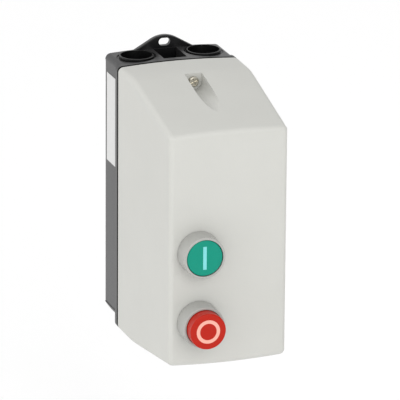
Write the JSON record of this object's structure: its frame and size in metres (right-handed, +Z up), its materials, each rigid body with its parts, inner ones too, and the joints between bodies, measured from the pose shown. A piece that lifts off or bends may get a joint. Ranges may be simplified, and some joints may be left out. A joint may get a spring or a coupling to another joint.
{
  "type": "enclosed direct-on-line motor starter",
  "caption": "Wall-mounted motor starter: dark base, light grey sloped cover, green start and red stop push-buttons, contactor and overload relay inside.",
  "frame": {"origin": "in the plane of the wall, midway across the case, 95.3 mm below the top of the base", "axes": "+Z up, -Y out of the wall towards the front of the cover, +X to the right seen from the front"},
  "size_m": [0.0888, 0.1682, 0.2155],
  "materials": {
    "base_plastic": "fine-textured moulded thermoplastic, dark grey",
    "black_plastic": "moulded black polyamide",
    "cover_plastic": "light grey thermoplastic with a fine spark-eroded grain",
    "device_plastic": "mid grey moulded polyamide",
    "seal_foam": "closed-cell rubber",
    "label_film": "white printed polyester film with plain grey bars",
    "zinc_steel": "zinc-plated steel",
    "screw_steel": "nickel-plated steel",
    "spring_steel": "spring steel wire",
    "core_steel": "stacked silicon steel laminations",
    "copper_alloy": "rolled copper alloy",
    "copper_wire": "enamelled copper wire",
    "brass": "milled brass",
    "start_green": "satin moulded green plastic",
    "stop_red": "satin moulded red plastic",
    "mark_white": "white moulded inlay",
    "plunger_white": "white acetal",
    "plunger_blue": "blue acetal",
    "wire_pvc": "PVC-insulated wire"
  },
  "bodies": {
    "base": {"base": "base_plastic", "entry_plugs": "black_plastic", "base_seal": "seal_foam", "hinge_pins": "zinc_steel", "side_label": "label_film", "din_rail": "zinc_steel", "rail_screws": "zinc_steel", "earth_plate": "brass", "earth_screw": "brass", "contactor_rear_housing": "black_plastic", "contactor_front_housing": "device_plastic", "fixed_core": "core_steel", "coil_bobbin": "black_plastic", "coil_winding": "copper_wire", "line_contacts": "copper_alloy", "load_contacts": "copper_alloy", "contactor_screws": "zinc_steel", "start_block": "device_plastic", "start_block_screws": "zinc_steel", "start_block_contacts": "copper_alloy", "relay_housing": "device_plastic", "relay_pins": "copper_alloy", "relay_terminals": "copper_alloy", "relay_screws": "zinc_steel", "bimetal_strips": "core_steel", "control_wires": "wire_pvc", "carrier_springs": "spring_steel", "start_plunger_spring": "spring_steel", "reset_spring": "spring_steel"},
    "cover": {"cover": "cover_plastic", "start_bezel": "cover_plastic", "start_bezel_seal": "seal_foam", "start_nut": "black_plastic", "stop_bezel": "cover_plastic", "stop_bezel_seal": "seal_foam", "stop_nut": "black_plastic", "start_spring": "spring_steel", "stop_spring": "spring_steel"},
    "cover_screw": {"cover_screw": "screw_steel", "screw_retainer": "seal_foam"},
    "start_button": {"start_cap": "start_green", "start_mark": "mark_white", "start_rod": "black_plastic"},
    "stop_button": {"stop_cap": "stop_red", "stop_mark": "mark_white", "stop_rod": "black_plastic"},
    "start_plunger": {"start_plunger": "plunger_white", "start_bridge": "copper_alloy"},
    "reset_plunger": {"reset_plunger": "plunger_blue"},
    "contact_carrier": {"contact_carrier": "black_plastic", "moving_core": "core_steel", "contact_bridges": "copper_alloy"},
    "rail_latch": {"rail_latch": "black_plastic"},
    "current_dial": {"current_dial": "plunger_white"}
  },
  "joints": [
    {"name": "cover_hinge", "type": "hinge", "parent": "base", "child": "cover", "pos_m": [0, -0.0381, -0.098], "axis": [1, 0, 0], "range_deg": [0, 95]},
    {"name": "cover_screw_slide", "type": "slide", "parent": "cover", "child": "cover_screw", "axis": [0, -1, 0], "range_m": [0, 0.009]},
    {"name": "start_press", "type": "slide", "parent": "cover", "child": "start_button", "axis": [0, 1, 0], "range_m": [0, 0.004], "stiffness_N_per_m": 800, "springref_m": -0.004, "deforming": ["start_spring"]},
    {"name": "stop_press", "type": "slide", "parent": "cover", "child": "stop_button", "axis": [0, 1, 0], "range_m": [0, 0.004], "stiffness_N_per_m": 800, "springref_m": -0.004, "deforming": ["stop_spring"]},
    {"name": "start_plunger_travel", "type": "slide", "parent": "base", "child": "start_plunger", "axis": [0, 1, 0], "range_m": [0, 0.004], "stiffness_N_per_m": 300, "springref_m": -0.004, "deforming": ["start_plunger_spring"]},
    {"name": "reset_plunger_travel", "type": "slide", "parent": "base", "child": "reset_plunger", "axis": [0, 1, 0], "range_m": [0, 0.004], "stiffness_N_per_m": 300, "springref_m": -0.004, "deforming": ["reset_spring"]},
    {"name": "carrier_travel", "type": "slide", "parent": "base", "child": "contact_carrier", "axis": [0, 1, 0], "range_m": [0, 0.0032], "stiffness_N_per_m": 1200, "springref_m": -0.004, "deforming": ["carrier_springs"]},
    {"name": "latch_slide", "type": "slide", "parent": "base", "child": "rail_latch", "axis": [0, 0, -1], "range_m": [0, 0.0025], "stiffness_N_per_m": 1500, "springref_m": -0.002},
    {"name": "dial_turn", "type": "hinge", "parent": "base", "child": "current_dial", "pos_m": [0.009, -0.092, -0.042], "axis": [0, -1, 0], "range_deg": [-130, 130]}
  ],
  "couplings": [
    {"joint": "start_plunger_travel", "follows": "start_press", "ratio": 1},
    {"joint": "reset_plunger_travel", "follows": "stop_press", "ratio": 1}
  ]
}
